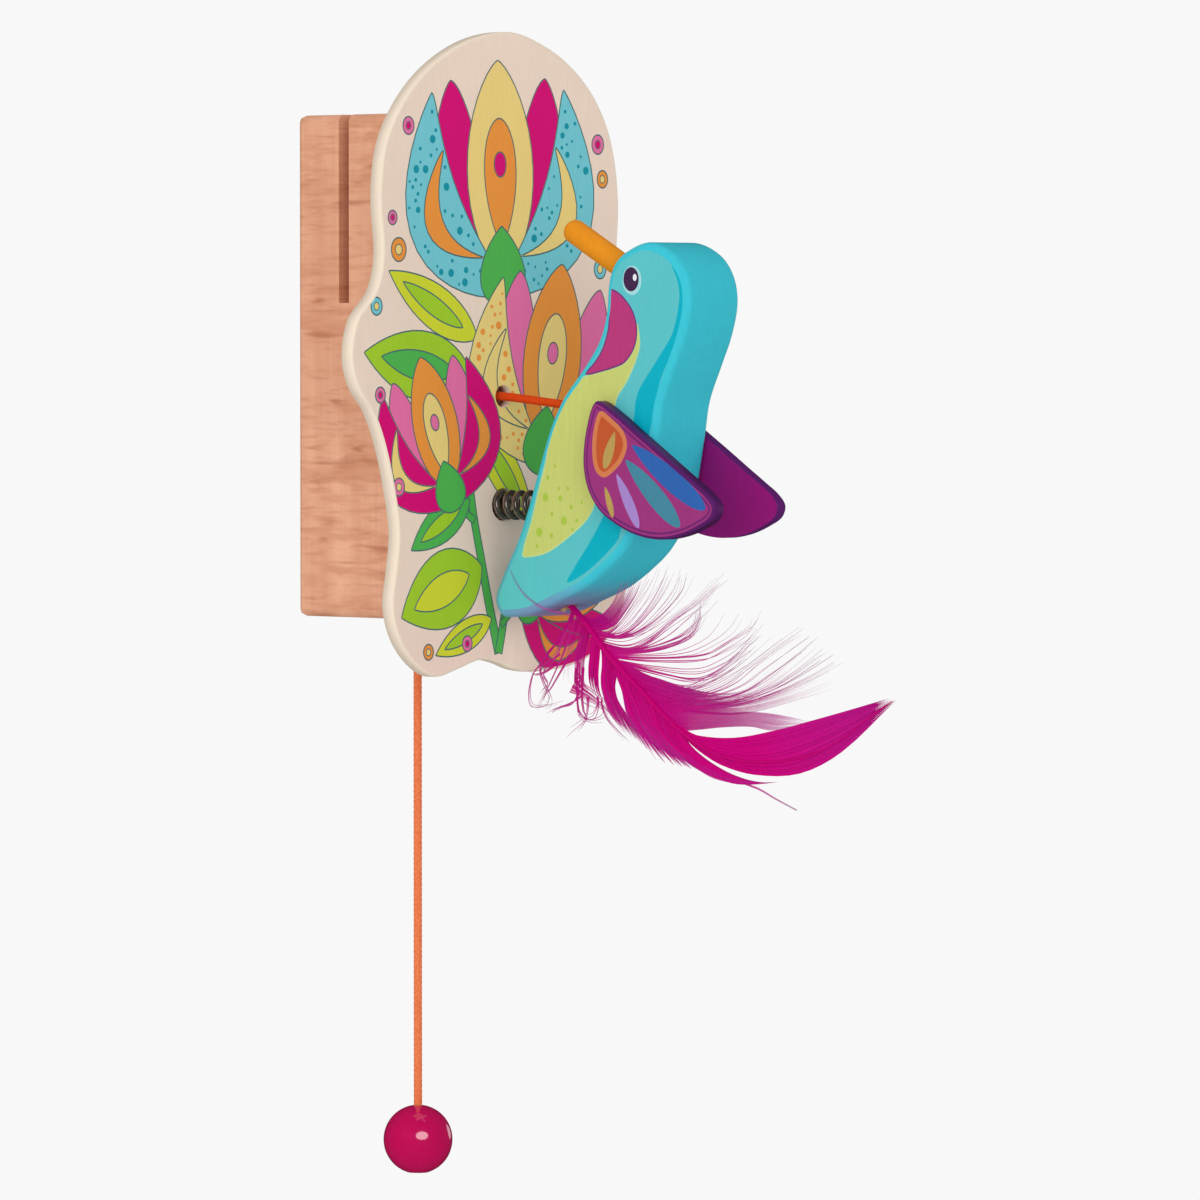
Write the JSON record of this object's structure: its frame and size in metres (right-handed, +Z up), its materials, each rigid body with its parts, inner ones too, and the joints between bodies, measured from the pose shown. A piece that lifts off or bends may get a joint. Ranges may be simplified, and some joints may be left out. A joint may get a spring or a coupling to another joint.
{
  "type": "bird door knocker toy",
  "caption": "Painted wooden bird on a coil spring that taps a printed face plate on a slotted sound block when its pull cord is drawn.",
  "frame": {"origin": "centre of the sound block's back face, the face that lies on the door or wall", "axes": "+Z up, +Y from the bird into the wall, +X to the right as seen from the front"},
  "size_m": [0.1156, 0.2009, 0.3289],
  "materials": {
    "beech": "clear matt varnish over plain beech",
    "printed_wood": "pale wood with a floral print under matt varnish",
    "bare_wood": "unfinished hardwood",
    "spring_steel": "dark oiled spring wire",
    "teal_paint": "satin paint",
    "orange_paint": "satin paint",
    "purple_paint": "satin paint with a print on its outer face",
    "magenta_lacquer": "high-gloss lacquer",
    "orange_cord": "fine round braid",
    "feather_shaft": "dyed horn",
    "feather": "dyed feather barbs"
  },
  "bodies": {
    "base": {"sound_block": "beech", "face_plate": "printed_wood", "spring": "spring_steel", "cord_front": "orange_cord", "cord_inner": "orange_cord"},
    "bird": {"bird_body": "teal_paint", "beak": "orange_paint", "chest_peg": "bare_wood", "wing_left": "purple_paint", "wing_right": "purple_paint", "feather_quill": "feather_shaft", "feather_peg": "bare_wood", "feather_vane_upper": "feather", "feather_vane_lower": "feather", "feather_down_upper": "feather", "feather_down_lower": "feather"},
    "cord_slide": {"cord_bore": "orange_cord"},
    "cord_swing": {"cord_turn": "orange_cord"},
    "pendulum": {"cord_hanging": "orange_cord", "pull_ball": "magenta_lacquer", "pull_knot": "orange_cord"}
  },
  "joints": [
    {"name": "bird_tilt", "type": "hinge", "parent": "base", "child": "bird", "pos_m": [0, -0.0642, -0.0396], "axis": [-1, 0, 0], "range_deg": [-8, 17.8], "stiffness_Nm_per_rad": 1, "springref_deg": 1.19, "deforming": ["spring", "cord_front"]},
    {"name": "cord_pull", "type": "slide", "parent": "base", "child": "cord_slide", "axis": [0, 0, -1], "range_m": [-0.0045, 0.0096]},
    {"name": "cord_fore_aft", "type": "hinge", "parent": "cord_slide", "child": "cord_swing", "pos_m": [0, -0.0206, -0.07855], "axis": [-1, 0, 0], "range_deg": [-3.5, 50]},
    {"name": "cord_sideways", "type": "hinge", "parent": "cord_swing", "child": "pendulum", "pos_m": [0, -0.0206, -0.07855], "axis": [0, 1, 0], "range_deg": [-60, 60]}
  ],
  "couplings": [
    {"joint": "cord_pull", "follows": "bird_tilt", "m_per_rad": 0.03}
  ]
}
